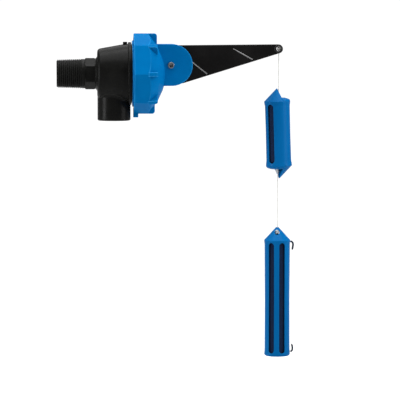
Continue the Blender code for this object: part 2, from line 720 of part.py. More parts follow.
def flat_lines(height, radius, bore, up):
    """Outer and inner lines of a flat end with a hole in its middle."""
    outer = shoulder(height, radius, bore, up)
    depth = height - up * SHELL_WALL
    inner = [
        (depth, bore), (depth, radius - SHELL_CORNER), (height - up * SHELL_CORNER, radius - SHELL_WALL),
    ]
    return outer, inner


def upper_half(name, flip, finish):
    """One half-shell of the upper float: a half-cone at one end and a flat shoulder at the other."""
    turn = UPPER_TURN + (math.pi if flip else 0.0)
    cone = cone_lines(UPPER_APEX, UPPER_CONE_BASE, UPPER_RADIUS, 1)
    flat = flat_lines(-UPPER_SHOULDER, UPPER_RADIUS, UPPER_BORE, -1)
    shell = half_shell(name, cone, flat, (0.0, UPPER_WAIST), finish, 0.0)
    low, high, width = UPPER_SLOT
    cutters = slot_cutters(f"{name}_slot", low, high, width, 0.0)
    place = Matrix.Rotation(turn, 4, "Z")
    if flip:
        place = place @ Matrix.Rotation(math.pi, 4, "Y")
    shift = Matrix.Translation(Vector((0.0, -GAP / 2, 0.0)) * MM)
    for piece in (shell, *cutters):
        piece.matrix_world = place @ shift @ piece.matrix_basis
    for cutter in cutters:
        boolean(shell, cutter, "DIFFERENCE")
    return [shell, *cutters]


def upper_float(shell_finish, core_finish):
    pieces = upper_half("upper_float_left_shell", False, shell_finish)
    pieces += upper_half("upper_float_right_shell", True, shell_finish)
    profile = [
        (UPPER_CORE_HALF, UPPER_BORE), (UPPER_CORE_HALF, UPPER_CORE_RADIUS - 1),
        (UPPER_CORE_HALF - 1, UPPER_CORE_RADIUS), (1 - UPPER_CORE_HALF, UPPER_CORE_RADIUS),
        (-UPPER_CORE_HALF, UPPER_CORE_RADIUS - 1), (-UPPER_CORE_HALF, UPPER_BORE),
    ]
    pieces.append(lathe("upper_float_core", profile, "Z", (0, 0), core_finish, steps=24))
    holder = pivot("upper_float_axis", *UPPER_CENTRE, tilt_y=UPPER_TILT)
    for piece in pieces:
        piece.parent = holder


def lower_half(name, turn, finish):
    steep = (LOWER_APEX - LOWER_CONE_BASE) / LOWER_RADIUS
    top_outer = [(LOWER_APEX - steep * LOWER_BORE, LOWER_BORE), (LOWER_CONE_BASE, LOWER_RADIUS)]
    inner_apex = LOWER_APEX - steep * (LOWER_BORE + 1.5 * SHELL_WALL)
    top_inner = [(inner_apex, LOWER_BORE), (LOWER_CONE_BASE - 0.4 * SHELL_WALL, LOWER_RADIUS - SHELL_WALL)]
    bottom = flat_lines(LOWER_BOTTOM, LOWER_RADIUS, 0.0, -1)
    middle = ((LOWER_CONE_BASE + LOWER_BOTTOM) / 2, LOWER_WAIST)
    shell = half_shell(name, (top_outer, top_inner), bottom, middle, finish, 0.0)
    low, high, width = LOWER_SLOT
    cutters = slot_cutters(f"{name}_slot", low, high, width, 0.0)
    cross_hole = cylinder(
        f"{name}_cross_hole", "Y", (0.0, LOWER_HOLE_Z), -14.0, 2.0, LOWER_HOLE_RADIUS, steps=16
    )
    shift = Matrix.Translation(Vector((0.0, -GAP / 2, 0.0)) * MM)
    for piece in (shell, *cutters, cross_hole):
        piece.matrix_world = Matrix.Rotation(turn, 4, "Z") @ shift @ piece.matrix_basis
    for cutter in (*cutters, cross_hole):
        boolean(shell, cutter, "DIFFERENCE")
    return [shell, *cutters, cross_hole]


def lower_float(shell_finish, core_finish, cord_finish, cleat_finish):
    pieces = lower_half("lower_float_front_shell", LOWER_TURN, shell_finish)
    pieces += lower_half("lower_float_rear_shell", LOWER_TURN + math.pi, shell_finish)
    profile = [
        (LOWER_CORE_TOP, 0), (LOWER_CORE_TOP, LOWER_CORE_RADIUS - 1),
        (LOWER_CORE_TOP - 1, LOWER_CORE_RADIUS), (LOWER_CORE_BOTTOM + 1, LOWER_CORE_RADIUS),
        (LOWER_CORE_BOTTOM, LOWER_CORE_RADIUS - 1), (LOWER_CORE_BOTTOM, 0),
    ]
    pieces.append(lathe("lower_float_core", profile, "Z", (0, 0), core_finish, steps=24))
    for piece in pieces:
        piece.matrix_world = Matrix.Translation(Vector((LOWER_X, 0.0, 0.0)) * MM) @ piece.matrix_basis
    knot_z = LOWER_HOLE_Z + 0.5
    pieces.append(knot("float_knot", LOWER_X, knot_z, LOWER_KNOT_RADIUS, LOWER_APEX - 0.1, cord_finish))
    for name, route in (("cleat_top", CLEAT_TOP_ROUTE), ("cleat_bottom", CLEAT_BOTTOM_ROUTE)):
        points = smooth_route([Vector((x, 0.0, z)) for x, z in route], 9)
        pieces.append(tube(name, points, CLEAT_RADIUS, cleat_finish))
    hang_on(pivot("lower_float_axis", LOWER_X, 0.0, LOWER_APEX), *pieces)


def main():
    clear_scene()
    black = material("black_plastic", (0.018, 0.018, 0.017), 0.42)
    blue = material("blue_plastic", (0.003, 0.16, 0.45), 0.35)
    float_blue = material("float_blue_plastic", (0.005, 0.17, 0.42), 0.4)
    arm_black = material("arm_black_plastic", (0.008, 0.008, 0.009), 0.4)
    steel = material("stainless_steel", (0.55, 0.56, 0.57), 0.3, 1.0)
    rubber = material("black_rubber", (0.01, 0.01, 0.01), 0.7)
    white = material("white_plastic", (0.75, 0.75, 0.72), 0.45)
    foam = material("dark_foam", (0.003, 0.01, 0.035), 0.85)
    cord = material("grey_cord", (0.48, 0.49, 0.5), 0.6)
    dark = material("dark_plastic", (0.02, 0.035, 0.06), 0.4)
    valve_body(black)
    cap(blue)
    pilot_jet(white)
    pivot_pin(steel)
    pin_clip(steel)
    diaphragm(rubber)
    diaphragm_plate(white)
    diaphragm_guide(white)
    diaphragm_screw(steel)
    return_spring(steel)
    bleed_pin(steel)
    arm = float_arm(arm_black)
    seal = pilot_seal(rubber)
    arm_knot = knot("arm_knot", cord_x(TIP_Z), TIP_Z + 0.1, ARM_KNOT_RADIUS, CORD_SWING_Z + 0.3, cord)
    hang_on(pivot("arm_pivot", PIN_X, 0.0, PIN_Z), arm, seal, arm_knot)
    cords(cord)
    upper_float(float_blue, foam)
    lower_float(float_blue, foam, cord, dark)


main()
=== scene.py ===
"""Looks of the float valve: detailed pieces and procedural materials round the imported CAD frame.

Sizes are in millimetres in the frame's axes (X along the valve, Z up), and the helpers turn them into metres.
The camera, lights and floor are in metres.
"""

import math

import bmesh
import bpy
from mathutils import Matrix, Vector


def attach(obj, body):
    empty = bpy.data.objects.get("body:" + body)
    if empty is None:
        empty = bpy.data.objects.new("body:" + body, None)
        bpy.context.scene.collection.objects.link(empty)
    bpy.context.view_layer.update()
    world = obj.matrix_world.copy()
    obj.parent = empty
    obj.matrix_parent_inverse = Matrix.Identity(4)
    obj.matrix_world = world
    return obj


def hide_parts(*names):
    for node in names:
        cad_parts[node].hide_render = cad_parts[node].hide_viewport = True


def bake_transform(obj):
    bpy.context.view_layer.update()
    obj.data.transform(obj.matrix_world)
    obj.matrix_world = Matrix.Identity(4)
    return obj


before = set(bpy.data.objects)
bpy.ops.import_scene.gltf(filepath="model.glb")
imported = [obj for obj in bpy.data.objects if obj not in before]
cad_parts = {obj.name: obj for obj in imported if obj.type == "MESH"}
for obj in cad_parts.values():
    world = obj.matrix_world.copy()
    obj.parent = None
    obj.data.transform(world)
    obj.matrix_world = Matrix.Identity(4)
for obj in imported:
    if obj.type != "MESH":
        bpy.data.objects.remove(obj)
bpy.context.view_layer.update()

MM = 0.001
TURN = 2 * math.pi


# ---------------------------------------------------------------- shape helpers

def on_axis(axis, along, a, b):
    if axis == "X":
        return (along, a, b)
    if axis == "Y":
        return (a, along, b)
    return (a, b, along)


def mesh_piece(name, points, faces):
    mesh = bpy.data.meshes.new(name)
    mesh.from_pydata([tuple(c * MM for c in point) for point in points], [], faces)
    shape = bmesh.new()
    shape.from_mesh(mesh)
    bmesh.ops.remove_doubles(shape, verts=shape.verts, dist=0.0005 * MM)
    bmesh.ops.dissolve_degenerate(shape, dist=0.0001 * MM, edges=shape.edges)
    bmesh.ops.recalc_face_normals(shape, faces=shape.faces)
    shape.to_mesh(mesh)
    shape.free()
    piece = bpy.data.objects.new(name, mesh)
    bpy.context.scene.collection.objects.link(piece)
    return piece


def skin(name, rings, closed=True):
    """A surface over rings of points, each ring closed; the row of rings is closed too, or capped."""
    count = len(rings[0])
    points = [point for ring in rings for point in ring]
    faces = []
    for i in range(len(rings) if closed else len(rings) - 1):
        here, there = i * count, (i + 1) % len(rings) * count
        for j in range(count):
            k = (j + 1) % count
            faces.append((here + j, here + k, there + k, there + j))
    if not closed:
        faces.append(tuple(range(count)))
        faces.append(tuple(range((len(rings) - 1) * count, len(rings) * count)))
    return mesh_piece(name, points, faces)


def rounded(corners, steps=5, closed=True):
    """A polygon of (a, b) or (a, b, fillet) with its filleted corners turned into arcs."""
    points = []
    count = len(corners)
    for i, corner in enumerate(corners):
        here = Vector(corner[:2])
        fillet = corner[2] if len(corner) > 2 else 0.0
        if fillet == 0.0 or (not closed and i in (0, count - 1)):
            points.append(tuple(here))
            continue
        back = Vector(corners[i - 1][:2]) - here
        ahead = Vector(corners[(i + 1) % count][:2]) - here
        half = back.angle(ahead) / 2
        tangent = min(fillet / math.tan(half), 0.49 * back.length, 0.49 * ahead.length)
        radius = tangent * math.tan(half)
        middle = (back.normalized() + ahead.normalized()).normalized()
        centre = here + middle * (radius / math.sin(half))
        first = here + back.normalized() * tangent - centre
        last = here + ahead.normalized() * tangent - centre
        swing = first.angle_signed(last)
        for step in range(steps + 1):
            turned = Matrix.Rotation(-swing * step / steps, 2) @ first
            points.append(tuple(centre + turned))
    return points


def lathe(name, profile, axis, centre=(0.0, 0.0), steps=96, start=0.0, sweep=TURN):
    """Turn a closed profile of (along, radius); a part turn is closed by its two end faces."""
    whole = sweep > TURN - 0.001
    rings = []
    for i in range(steps if whole else steps + 1):
        angle = start + sweep * i / steps
        c, s = math.cos(angle), math.sin(angle)
        rings.append([on_axis(axis, along, centre[0] + r * c, centre[1] + r * s) for along, r in profile])
    return skin(name, rings, closed=whole)


def prism(name, outline, axis, low, high):
    rings = [[on_axis(axis, along, a, b) for a, b in outline] for along in (low, high)]
    return skin(name, rings, closed=False)


def circle(centre, radius, steps=48):
    return arc(centre, radius, 0.0, TURN * (steps - 1) / steps, steps - 1)


def arc(centre, radius, start, end, steps):
    points = []
    for i in range(steps + 1):
        angle = start + (end - start) * i / steps
        points.append((centre[0] + radius * math.cos(angle), centre[1] + radius * math.sin(angle)))
    return points


def softest(values, softness):
    """The least of some values, with the change-over between them rounded."""
    least = min(values)
    return least - softness * math.log(sum(math.exp((least - value) / softness) for value in values))


def box_outline(low_a, high_a, low_b, high_b):
    return [(low_a, low_b), (high_a, low_b), (high_a, high_b), (low_a, high_b)]


def bake(piece):
    """Apply a piece's modifiers."""
    bpy.context.view_layer.update()
    seen = piece.evaluated_get(bpy.context.evaluated_depsgraph_get())
    mesh = bpy.data.meshes.new_from_object(seen)
    piece.modifiers.clear()
    old = piece.data
    piece.data = mesh
    bpy.data.meshes.remove(old)


def bevel(piece, width, segments=3, degrees=38):
    modifier = piece.modifiers.new("bevel", "BEVEL")
    modifier.width = width * MM
    modifier.segments = segments
    modifier.limit_method = "ANGLE"
    modifier.angle_limit = math.radians(degrees)
    modifier.use_clamp_overlap = True
    bake(piece)
    return piece


def move(piece, matrix):
    piece.data.transform(matrix)
    return piece


def joined(name, pieces):
    """One object made of several meshes that don't touch each other."""
    shape = bmesh.new()
    for piece in pieces:
        shape.from_mesh(piece.data)
        remove(piece)
    mesh = bpy.data.meshes.new(name)
    shape.to_mesh(mesh)
    shape.free()
    made = bpy.data.objects.new(name, mesh)
    bpy.context.scene.collection.objects.link(made)
    return made


def remove(piece):
    mesh = piece.data
    bpy.data.objects.remove(piece)
    bpy.data.meshes.remove(mesh)


def combine(target, tool, operation):
    modifier = target.modifiers.new("combine", "BOOLEAN")
    modifier.operation = operation
    modifier.solver = "EXACT"
    modifier.object = tool
    bake(target)
    remove(tool)
    return target


def done(piece, finish, body, degrees=34, nodes=()):
    """Shade, paint and hang a finished piece on its body."""
    mesh = piece.data
    mesh.materials.clear()
    mesh.materials.append(finish)
    mesh.shade_smooth()
    mesh.set_sharp_from_angle(angle=math.radians(degrees))
    modifier = piece.modifiers.new("even_normals", "WEIGHTED_NORMAL")
    modifier.keep_sharp = True
    bake(piece)
    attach(piece, body)
    if nodes:
        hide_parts(*nodes)
    return piece


def swept(name, path, radius_at, steps=12, lobes=0, lobe_depth=0.0, twist=0.0):
    """A tube along path, closed at its ends, that may be laid up of twisted strands."""
    rings = []
    side = None
    travelled = 0.0
    for i, point in enumerate(path):
        ahead = path[min(i + 1, len(path) - 1)] - path[max(i - 1, 0)]
        ahead.normalize()
        if i:
            travelled += (point - path[i - 1]).length
        if side is None:
            side = ahead.orthogonal().normalized()
        side = (side - ahead * side.dot(ahead)).normalized()
        up = ahead.cross(side)
        radius = radius_at(i / (len(path) - 1))
        ring = []
        for j in range(steps):
            angle = TURN * j / steps
            r = radius * (1 - lobe_depth * (0.5 - 0.5 * math.cos(lobes * (angle - twist * travelled))))
            ring.append(tuple(point + side * (r * math.cos(angle)) + up * (r * math.sin(angle))))
        rings.append(ring)
    return skin(name, rings, closed=False)


def spline(route, count):
    """Evenly numbered points on a Catmull-Rom curve through the route."""
    route = [Vector(point) for point in route]
    ends = [2 * route[0] - route[1], *route, 2 * route[-1] - route[-2]]
    points = []
    for i in range(count):
        place = (len(route) - 1) * i / (count - 1)
        span = min(int(place), len(route) - 2)
        t = place - span
        a, b, c, d = ends[span:span + 4]
        square = (2 * a - 5 * b + 4 * c - d) * t * t
        cube = (3 * b - 3 * c + d - a) * t ** 3
        points.append(0.5 * (2 * b + (c - a) * t + square + cube))
    return points


# ---------------------------------------------------------------- materials

class Paint:
    """A Principled material that is built node by node."""

    def __init__(self, name, roughness, metallic=0.0, specular=0.5):
        self.material = bpy.data.materials.new(name)
        self.material.use_nodes = True
        self.tree = self.material.node_tree
        self.shader = self.tree.nodes["Principled BSDF"]
        self.shader.inputs["Roughness"].default_value = roughness
        self.shader.inputs["Metallic"].default_value = metallic
        self.shader.inputs["Specular IOR Level"].default_value = specular
        self.place = self.node("ShaderNodeTexCoord").outputs["Object"]
        self.bumped = None

    def node(self, kind, **values):
        made = self.tree.nodes.new(kind)
        for key, value in values.items():
            setattr(made, key, value)
        return made

    def link(self, start, end):
        self.tree.links.new(start, end)

    def stretched(self, scale):
        mapping = self.node("ShaderNodeMapping")
        self.link(self.place, mapping.inputs["Vector"])
        mapping.inputs["Scale"].default_value = scale
        return mapping.outputs["Vector"]

    def noise(self, scale, detail=3.0, rough=0.55, stretch=(1.0, 1.0, 1.0)):
        made = self.node("ShaderNodeTexNoise")
        self.link(self.stretched(stretch), made.inputs["Vector"])
        made.inputs["Scale"].default_value = scale
        made.inputs["Detail"].default_value = detail
        made.inputs["Roughness"].default_value = rough
        return made.outputs["Fac"]

    def cells(self, scale, feature="F1"):
        made = self.node("ShaderNodeTexVoronoi", feature=feature)
        self.link(self.place, made.inputs["Vector"])
        made.inputs["Scale"].default_value = scale
        return made.outputs["Distance"]

    def ranged(self, value, low, high, to_low, to_high):
        made = self.node("ShaderNodeMapRange")
        self.link(value, made.inputs["Value"])
        made.inputs["From Min"].default_value = low
        made.inputs["From Max"].default_value = high
        made.inputs["To Min"].default_value = to_low
        made.inputs["To Max"].default_value = to_high
        return made.outputs["Result"]

    def edges(self, width=0.0009):
        """How close a point is to an outward edge, from the normal it would have if the edge were rounded; it
        masks the painted edge highlight.
        """
        eased = self.node("ShaderNodeBevel", samples=4)
        eased.inputs["Radius"].default_value = width
        plain = self.node("ShaderNodeNewGeometry")
        likeness = self.node("ShaderNodeVectorMath", operation="DOT_PRODUCT")
        self.link(eased.outputs["Normal"], likeness.inputs[0])
        self.link(plain.outputs["True Normal"], likeness.inputs[1])
        near = self.ranged(likeness.outputs["Value"], 0.992, 0.93, 0.0, 1.0)
        outward = self.ranged(plain.outputs["Pointiness"], 0.495, 0.52, 0.0, 1.0)
        both = self.node("ShaderNodeMath", operation="MULTIPLY")
        self.link(near, both.inputs[0])
        self.link(outward, both.inputs[1])
        return both.outputs["Value"]

    def colours(self, factor, *stops):
        ramp = self.node("ShaderNodeValToRGB")
        elements = ramp.color_ramp.elements
        while len(elements) < len(stops):
            elements.new(0.5)
        for element, (position, colour) in zip(elements, stops):
            element.position = position
            element.color = (*colour, 1.0)
        self.link(factor, ramp.inputs["Fac"])
        return ramp.outputs["Color"]

    def mixed(self, factor, first, second, blend="MIX"):
        made = self.node("ShaderNodeMix", data_type="RGBA", blend_type=blend)
        self.link(factor, made.inputs["Factor"])
        for socket, value in (("A", first), ("B", second)):
            target = [s for s in made.inputs if s.name == socket and s.type == "RGBA"][0]
            if isinstance(value, tuple):
                target.default_value = (*value, 1.0)
            else:
                self.link(value, target)
        return [s for s in made.outputs if s.type == "RGBA"][0]

    def colour(self, value):
        self.link(value, self.shader.inputs["Base Color"])

    def roughness(self, value):
        self.link(value, self.shader.inputs["Roughness"])

    def bump(self, height, distance, strength=1.0):
        made = self.node("ShaderNodeBump")
        made.inputs["Distance"].default_value = distance
        made.inputs["Strength"].default_value = strength
        self.link(height, made.inputs["Height"])
        if self.bumped:
            self.link(self.bumped, made.inputs["Normal"])
        self.bumped = made.outputs["Normal"]
        self.link(self.bumped, self.shader.inputs["Normal"])


def moulded(name, dark, mid, light, painted_edge_highlight, roughness, specular, grain=0.00004, streak=(1.0, 1.0, 1.0)):
    """Injection-moulded plastic: clouded colour, a fine eroded grain, and outward edges painted lighter as a
    highlight.
    """
    paint = Paint(name, roughness, specular=specular)
    clouds = paint.noise(38.0, 4.0, 0.6, streak)
    base = paint.colours(clouds, (0.32, dark), (0.52, mid), (0.72, light))
    fine = paint.noise(1500.0, 2.0, 0.6)
    speck = paint.ranged(fine, 0.35, 0.75, 0.0, 0.35)
    base = paint.mixed(speck, base, light)
    # Painted highlight: outward edges are mixed towards the lighter edge colour, standing in for glints of
    # light on them.
    paint.colour(paint.mixed(paint.edges(), base, painted_edge_highlight))
    patches = paint.noise(120.0, 3.0, 0.5, streak)
    paint.roughness(paint.ranged(patches, 0.3, 0.7, roughness - 0.05, roughness + 0.07))
    paint.bump(paint.noise(2600.0, 2.0, 0.5), grain, 0.7)
    paint.bump(paint.noise(160.0, 2.0, 0.4, streak), 0.00006, 0.35)
    return paint.material


def turned_steel(name):
    paint = Paint(name, 0.26, metallic=1.0)
    rings = paint.noise(700.0, 3.0, 0.6, (0.12, 1.0, 0.12))
    paint.colour(paint.colours(rings, (0.3, (0.20, 0.21, 0.23)), (0.7, (0.40, 0.41, 0.43))))
    paint.roughness(paint.ranged(rings, 0.3, 0.7, 0.18, 0.36))
    paint.bump(rings, 0.00002, 0.6)
    return paint.material


def soft_rubber(name):
    paint = Paint(name, 0.68, specular=0.4)
    paint.colour(paint.colours(paint.noise(90.0), (0.3, (0.006, 0.006, 0.006)), (0.7, (0.014, 0.014, 0.013))))
    paint.roughness(paint.ranged(paint.noise(300.0), 0.3, 0.7, 0.6, 0.78))
    paint.bump(paint.noise(1800.0), 0.00005, 0.8)
    return paint.material


def cell_foam(name):
    paint = Paint(name, 0.9, specular=0.2)
    cells = paint.cells(900.0)
    tint = paint.colours(cells, (0.1, (0.0004, 0.004, 0.018)), (0.8, (0.0012, 0.012, 0.050)))
    paint.colour(tint)
    paint.roughness(paint.ranged(paint.noise(200.0), 0.3, 0.7, 0.84, 0.95))
    paint.bump(cells, 0.0003, 0.8)
    return paint.material


def laid_cord(name):
    paint = Paint(name, 0.62, specular=0.35)
    fibres = paint.noise(4200.0, 3.0, 0.6, (1.0, 1.0, 0.35))
    shades = ((0.25, (0.52, 0.52, 0.50)), (0.55, (0.74, 0.74, 0.71)), (0.8, (0.88, 0.88, 0.85)))
    paint.colour(paint.colours(fibres, *shades))
    paint.roughness(paint.ranged(fibres, 0.3, 0.7, 0.5, 0.74))
    paint.bump(fibres, 0.00008, 0.8)
    paint.shader.inputs["Sheen Weight"].default_value = 0.3
    return paint.material


# The fifth colour of each moulded finish below is a painted highlight for its outward edges.
BODY_BLACK = moulded(
    "body_black_finish", (0.0040, 0.0040, 0.0038), (0.0058, 0.0058, 0.0055), (0.0090, 0.0090, 0.0084),
    (0.016, 0.016, 0.015), 0.28, 0.055, grain=0.00004,
)
ARM_BLACK = moulded(
    "arm_black_finish", (0.0044, 0.0042, 0.0042), (0.0064, 0.0060, 0.0060), (0.0090, 0.0086, 0.0086),
    (0.075, 0.075, 0.076), 0.30, 0.07,
)
# Painted highlight: the ridges get this light grey so that they read as glints of light along their crests on
# the black arm.
ARM_RIDGE_HIGHLIGHT = moulded(
    "arm_ridge_painted_highlight", (0.09, 0.09, 0.092), (0.15, 0.15, 0.152), (0.22, 0.22, 0.222),
    (0.3, 0.3, 0.3), 0.4, 0.3,
)
CAP_BLUE = moulded(
    "cap_blue_finish", (0.0003, 0.120, 0.345), (0.0004, 0.132, 0.370), (0.0006, 0.145, 0.396),
    (0.040, 0.340, 0.740), 0.20, 0.006, grain=0.000005,
)
FLOAT_BLUE = moulded(
    "float_blue_finish", (0.0003, 0.088, 0.270), (0.0005, 0.100, 0.300), (0.0010, 0.114, 0.332),
    (0.002, 0.150, 0.420), 0.30, 0.03, grain=0.00002, streak=(1.0, 1.0, 0.12),
)
CLEAT_DARK = moulded(
    "cleat_dark_finish", (0.004, 0.010, 0.022), (0.006, 0.014, 0.030), (0.010, 0.020, 0.042),
    (0.02, 0.04, 0.07), 0.4, 0.1,
)
WHITE_INSERT = moulded(
    "white_insert_finish", (0.62, 0.62, 0.58), (0.70, 0.70, 0.66), (0.78, 0.78, 0.75),
    (0.86, 0.86, 0.84), 0.4, 0.5,
)
STEEL = turned_steel("steel_finish")
RUBBER = soft_rubber("rubber_finish")
FOAM = cell_foam("foam_finish")
CORD = laid_cord("cord_finish")


# ---------------------------------------------------------------- camera

VIEW_AZIMUTH = math.radians(-3.0)
VIEW_ELEVATION = math.radians(4.0)
VIEW_DISTANCE = 3.2
VIEW_WIDTH = 0.4716
VIEW_TARGET = Vector((0.1684, 0.0, -0.1490))


def set_camera():
    data = bpy.data.cameras.new("camera")
    data.sensor_width = 36.0
    data.lens = data.sensor_width * VIEW_DISTANCE / VIEW_WIDTH
    data.clip_start = 0.1
    data.clip_end = 60.0
    camera = bpy.data.objects.new("camera", data)
    level = math.cos(VIEW_ELEVATION)
    back = Vector((math.sin(VIEW_AZIMUTH) * level, -math.cos(VIEW_AZIMUTH) * level, math.sin(VIEW_ELEVATION)))
    camera.location = VIEW_TARGET + back * VIEW_DISTANCE
    camera.rotation_euler = (-back).to_track_quat("-Z", "Y").to_euler()
    bpy.context.scene.collection.objects.link(camera)
    bpy.context.scene.camera = camera


set_camera()


# ---------------------------------------------------------------- cord and knots

CORD_TOP = (261.2, 22.9)
CORD_BOTTOM = (259.9, -179.2)
CORD_RADIUS = 0.7
CORD_JOINT_Z = -124.0
CORD_SIDES = 12
STRANDS = 3
STRAND_DEPTH = 0.2
LAY_TWIST = 1.9
TIP_X, TIP_Z, TIP_RADIUS = 260.5, 28.9, 5.3
TIP_HOLE_X, TIP_HOLE_RADIUS = 260.9, 2.9
STOP_KNOT_Z = -114.8
KNOT_SIZE = 2.75
STOP_KNOT_SIZE = 2.3
LOWER_X = 259.8
LOWER_TURN = math.radians(-7.0)
LOWER_HOLE_Z = -187.2


def cord_x(z):
    (top_x, top_z), (bottom_x, bottom_z) = CORD_TOP, CORD_BOTTOM
    return bottom_x + (top_x - bottom_x) * (z - bottom_z) / (top_z - bottom_z)


def laid(name, path, radius):
    """A length of cord with its twisted strands."""
    return swept(name, path, lambda _: radius, CORD_SIDES, STRANDS, STRAND_DEPTH, LAY_TWIST)


def knot(name, centre, size, tilt, body, node):
    """An overhand knot of the same laid cord, drawn tight round a small core."""
    scale = (size - CORD_RADIUS) / 3.0
    path = []
    for i in range(121):
        t = TURN * i / 120
        ring = 2.0 + math.cos(3 * t)
        path.append(Vector((ring * math.cos(2 * t), math.sin(3 * t) * 1.15, ring * math.sin(2 * t))) * scale)
    loops = laid(f"{name}_loops", path, CORD_RADIUS)
    reach = size - 1.2
    disc = rounded([(-0.9, 0.0), (-0.9, reach, 0.5), (0.9, reach, 0.5), (0.9, 0.0)])
    core = lathe(f"{name}_core", disc, "Y", steps=16)
    piece = joined(name, [loops, core])
    move(piece, Matrix.Translation(Vector(centre) * MM) @ Matrix.Rotation(math.radians(tilt), 4, "Y"))
    return done(piece, CORD, body, 60, (node,))


def stub(name, x, low, high, radius, body):
    path = [Vector((x, 0.0, low + (high - low) * i / 12)) for i in range(13)]
    return done(laid(name, path, radius), CORD, body, 60)


def main_cord():
    """One laid cord from the arm's tip, past the stop knot, to the lower float."""
    top, bottom = 23.35, -180.9
    route = [Vector((cord_x(z), 0.0, z)) for z in (top, -30.0, -75.0, CORD_JOINT_Z, -150.0, bottom)]
    path = spline(route, 520)
    piece = laid("cord", path, CORD_RADIUS)
    mesh = piece.data
    mesh.materials.append(CORD)
    mesh.shade_smooth()
    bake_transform(piece)
    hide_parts("upper_cord_top", "upper_cord_end", "lower_cord")
    return piece, path


arm_knot = knot("arm_knot_tied", (261.1, -2.9, TIP_Z + 0.1), KNOT_SIZE, 20.0, "arm", "arm_knot")
arm_stub = stub("arm_knot_stub", cord_x(25.0), 23.6, 27.2, 0.62, "arm")
stop_place = (cord_x(STOP_KNOT_Z) - 0.9, -0.42, STOP_KNOT_Z)
stop_knot = knot("stop_knot_tied", stop_place, STOP_KNOT_SIZE, 0.0, "upper_cord", "stop_knot")
float_place = (LOWER_X - 0.4, -3.2, LOWER_HOLE_Z + 0.1)
float_knot = knot("float_knot_tied", float_place, KNOT_SIZE, -25.0, "lower_float", "float_knot")
float_stub = stub("float_knot_stub", LOWER_X, LOWER_HOLE_Z + 2.0, -181.0, 0.6, "lower_float")
cord, cord_path = main_cord()


# ---------------------------------------------------------------- valve body

THREAD_PITCH = 2.309
THREAD_DEPTH = 1.2
THREAD_END = 30.0
NECK_RADIUS = 15.4
COLLAR_FLAT = 16.0
OUTLET_X = 67.3
OUTLET_RADIUS = 19.4
OUTLET_BORE = 15.8
BELL_OUTSIDE = rounded([
    (45.1, NECK_RADIUS), (45.1, 17.8, 0.4), (46.3, 18.2, 1.0), (47.7, 20.6, 1.5), (47.7, 29.0, 4.2),
    (77.9, 34.4, 6.0), (83.5, 34.6, 0.5), (84.1, 36.9, 0.5), (87.4, 36.9, 0.5), (87.4, 34.3, 0.3),
    (103.0, 34.3, 0.6),
], closed=False)


def radius_at(profile, x):
    found = [
        r0 + (r1 - r0) * (x - x0) / (x1 - x0)
        for (x0, r0), (x1, r1) in zip(profile, profile[1:])
        if x1 > x0 and x0 <= x <= x1
    ]
    return max(found)


def thread():
    """The tapered inlet thread with its bore, one closed turned and spiralled solid."""
    steps = 96
    rings = []

    def ring(x, radius_of):
        rings.append([
            (x, radius_of(j) * math.cos(TURN * j / steps), radius_of(j) * math.sin(TURN * j / steps))
            for j in range(steps)
        ])

    count = math.ceil((THREAD_END + 0.8) / THREAD_PITCH * 16)
    for i in range(count + 1):
        x = (THREAD_END + 0.8) * i / count

        def spiral(j, x=x):
            phase = (x / THREAD_PITCH - j / steps) % 1.0
            ramp = min(1.0, max(0.0, abs(2 * phase - 1) * 1.5 - 0.45))
            ramp = 0.5 - 0.5 * math.cos(math.pi * ramp)
            fade = min(1.0, max(0.0, (THREAD_END + 0.6 - x) / 2.6))
            crest = 16.45 + x / 32
            radius = crest - 0.25 - (THREAD_DEPTH - 0.25) * ramp * fade + 0.25 * (1 - ramp) * fade
            return min(radius, 15.0 + 1.0 * x)

        ring(x, spiral)
    ring(32.3, lambda j: 17.2)
    ring(32.9, lambda j: 17.1)
    ring(34.0, lambda j: NECK_RADIUS)
    ring(36.0, lambda j: NECK_RADIUS)
    for x, radius in ((36.0, 12.0), (0.9, 12.0), (0.2, 12.5), (0.0, 12.8), (0.0, 14.7)):
        ring(x, lambda j, radius=radius: radius)
    return skin("inlet_thread", rings)


def bell():
    """The bell with its chamber, the seat nozzle and the bore, turned, and opened over the outlet."""
    inside = rounded([
        (103.0, 29.5, 0.5), (90.0, 29.5, 5.0), (55.5, 28.0, 4.0), (52.0, 25.5, 2.0), (52.0, 13.5, 2.0),
        (98.5, 13.5, 0.6), (98.5, 11.2, 0.6), (97.4, 10.5, 0.4), (56.0, 10.5, 4.0), (46.0, 12.0, 4.0),
        (36.0, 12.0), (36.0, NECK_RADIUS),
    ], steps=4)
    piece = lathe("bell", BELL_OUTSIDE + inside, "X", steps=128)
    hole = prism("bell_opening", circle((OUTLET_X, 0.0), OUTLET_BORE, 96), "Z", -60.0, -20.5)
    return combine(piece, hole, "DIFFERENCE")


